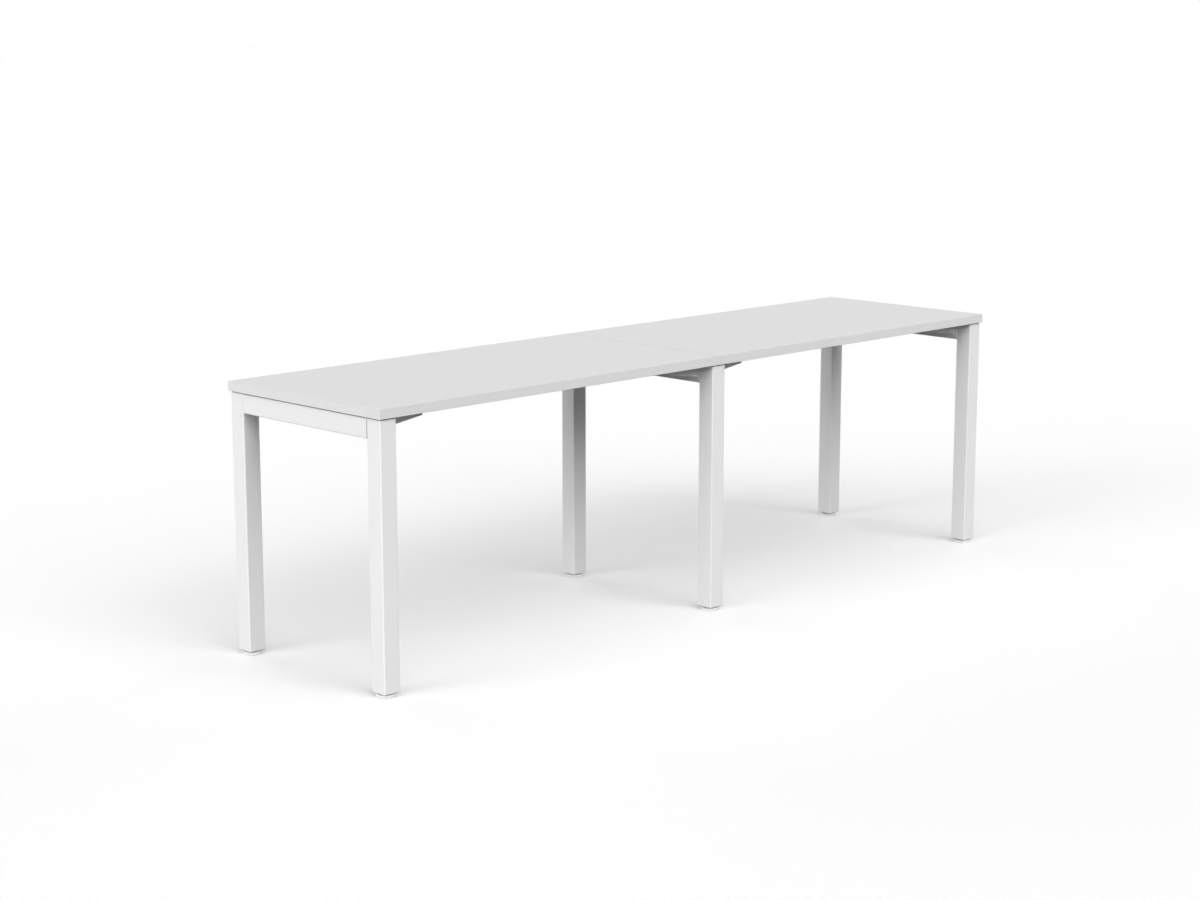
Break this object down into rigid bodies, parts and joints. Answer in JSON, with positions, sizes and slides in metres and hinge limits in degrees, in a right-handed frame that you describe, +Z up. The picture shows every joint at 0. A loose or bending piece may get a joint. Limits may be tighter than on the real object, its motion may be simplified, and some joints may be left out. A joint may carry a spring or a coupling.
{
  "type": "two-person desk",
  "caption": "Long straight desk with paired worktops end to end on square-tube leg frames with tapered support arms, hidden long beams and levelling feet.",
  "frame": {"origin": "on the floor, under the centre of the two worktops, with the feet wound in", "axes": "+X along the desk's length to the right, +Y from the users' side to the rear, +Z up"},
  "size_m": [2.4, 0.6, 0.716],
  "materials": {
    "white_melamine_board": "fine-textured matt white melamine facing on particleboard",
    "white_edge_band": "matt white edge band with small rounded arrises",
    "white_powder_coat": "smooth satin white powder coat",
    "white_beam_coat": "satin white powder coat",
    "zinc_plated_steel": "bright zinc plate",
    "black_rubber": "matt black rubber",
    "black_cap_plastic": "moulded black plastic",
    "grey_insert_plastic": "moulded light grey plastic",
    "white_foot_plastic": "smooth white moulded plastic"
  },
  "bodies": {
    "desk": {"left_worktop": "white_melamine_board", "right_worktop": "white_melamine_board", "left_front_edge_band": "white_edge_band", "left_rear_edge_band": "white_edge_band", "left_end_edge_band": "white_edge_band", "left_inner_edge_band": "white_edge_band", "right_front_edge_band": "white_edge_band", "right_rear_edge_band": "white_edge_band", "right_end_edge_band": "white_edge_band", "right_inner_edge_band": "white_edge_band", "front_left_leg": "white_powder_coat", "rear_left_leg": "white_powder_coat", "front_centre_leg": "white_powder_coat", "rear_centre_leg": "white_powder_coat", "front_right_leg": "white_powder_coat", "rear_right_leg": "white_powder_coat", "left_rail": "white_powder_coat", "centre_rail": "white_powder_coat", "right_rail": "white_powder_coat", "left_front_arm": "white_powder_coat", "left_rear_arm": "white_powder_coat", "right_front_arm": "white_powder_coat", "right_rear_arm": "white_powder_coat", "centre_front_left_arm": "white_powder_coat", "centre_rear_left_arm": "white_powder_coat", "centre_front_right_arm": "white_powder_coat", "centre_rear_right_arm": "white_powder_coat", "left_front_beam": "white_beam_coat", "left_rear_beam": "white_beam_coat", "right_front_beam": "white_beam_coat", "right_rear_beam": "white_beam_coat", "left_front_beam_plates": "white_beam_coat", "left_rear_beam_plates": "white_beam_coat", "right_front_beam_plates": "white_beam_coat", "right_rear_beam_plates": "white_beam_coat", "beam_bolts": "zinc_plated_steel", "rivet_nuts": "zinc_plated_steel", "beam_buffers": "black_rubber", "left_worktop_screws": "zinc_plated_steel", "right_worktop_screws": "zinc_plated_steel", "leg_top_caps": "black_cap_plastic", "rail_top_strips": "black_rubber", "front_left_insert": "grey_insert_plastic", "rear_left_insert": "grey_insert_plastic", "front_centre_insert": "grey_insert_plastic", "rear_centre_insert": "grey_insert_plastic", "front_right_insert": "grey_insert_plastic", "rear_right_insert": "grey_insert_plastic"},
    "front_left_foot": {"front_left_foot_pad": "white_foot_plastic"},
    "front_left_stud": {"front_left_foot_stud": "zinc_plated_steel"},
    "rear_left_foot": {"rear_left_foot_pad": "white_foot_plastic"},
    "rear_left_stud": {"rear_left_foot_stud": "zinc_plated_steel"},
    "front_centre_foot": {"front_centre_foot_pad": "white_foot_plastic"},
    "front_centre_stud": {"front_centre_foot_stud": "zinc_plated_steel"},
    "rear_centre_foot": {"rear_centre_foot_pad": "white_foot_plastic"},
    "rear_centre_stud": {"rear_centre_foot_stud": "zinc_plated_steel"},
    "front_right_foot": {"front_right_foot_pad": "white_foot_plastic"},
    "front_right_stud": {"front_right_foot_stud": "zinc_plated_steel"},
    "rear_right_foot": {"rear_right_foot_pad": "white_foot_plastic"},
    "rear_right_stud": {"rear_right_foot_stud": "zinc_plated_steel"}
  },
  "joints": [
    {"name": "front_left_foot_lift", "type": "slide", "parent": "desk", "child": "front_left_foot", "axis": [0, 0, -1], "range_m": [0, 0.015]},
    {"name": "front_left_stud_turn", "type": "hinge", "parent": "front_left_foot", "child": "front_left_stud", "pos_m": [-1.17, -0.27, 0], "axis": [0, 0, -1], "range_deg": [0, 3600]},
    {"name": "rear_left_foot_lift", "type": "slide", "parent": "desk", "child": "rear_left_foot", "axis": [0, 0, -1], "range_m": [0, 0.015]},
    {"name": "rear_left_stud_turn", "type": "hinge", "parent": "rear_left_foot", "child": "rear_left_stud", "pos_m": [-1.17, 0.27, 0], "axis": [0, 0, -1], "range_deg": [0, 3600]},
    {"name": "front_centre_foot_lift", "type": "slide", "parent": "desk", "child": "front_centre_foot", "axis": [0, 0, -1], "range_m": [0, 0.015]},
    {"name": "front_centre_stud_turn", "type": "hinge", "parent": "front_centre_foot", "child": "front_centre_stud", "pos_m": [0, -0.27, 0], "axis": [0, 0, -1], "range_deg": [0, 3600]},
    {"name": "rear_centre_foot_lift", "type": "slide", "parent": "desk", "child": "rear_centre_foot", "axis": [0, 0, -1], "range_m": [0, 0.015]},
    {"name": "rear_centre_stud_turn", "type": "hinge", "parent": "rear_centre_foot", "child": "rear_centre_stud", "pos_m": [0, 0.27, 0], "axis": [0, 0, -1], "range_deg": [0, 3600]},
    {"name": "front_right_foot_lift", "type": "slide", "parent": "desk", "child": "front_right_foot", "axis": [0, 0, -1], "range_m": [0, 0.015]},
    {"name": "front_right_stud_turn", "type": "hinge", "parent": "front_right_foot", "child": "front_right_stud", "pos_m": [1.17, -0.27, 0], "axis": [0, 0, -1], "range_deg": [0, 3600]},
    {"name": "rear_right_foot_lift", "type": "slide", "parent": "desk", "child": "rear_right_foot", "axis": [0, 0, -1], "range_m": [0, 0.015]},
    {"name": "rear_right_stud_turn", "type": "hinge", "parent": "rear_right_foot", "child": "rear_right_stud", "pos_m": [1.17, 0.27, 0], "axis": [0, 0, -1], "range_deg": [0, 3600]}
  ],
  "couplings": [
    {"joint": "front_left_stud_turn", "follows": "front_left_foot_lift", "rad_per_m": 4188.8},
    {"joint": "rear_left_stud_turn", "follows": "rear_left_foot_lift", "rad_per_m": 4188.8},
    {"joint": "front_centre_stud_turn", "follows": "front_centre_foot_lift", "rad_per_m": 4188.8},
    {"joint": "rear_centre_stud_turn", "follows": "rear_centre_foot_lift", "rad_per_m": 4188.8},
    {"joint": "front_right_stud_turn", "follows": "front_right_foot_lift", "rad_per_m": 4188.8},
    {"joint": "rear_right_stud_turn", "follows": "rear_right_foot_lift", "rad_per_m": 4188.8}
  ]
}
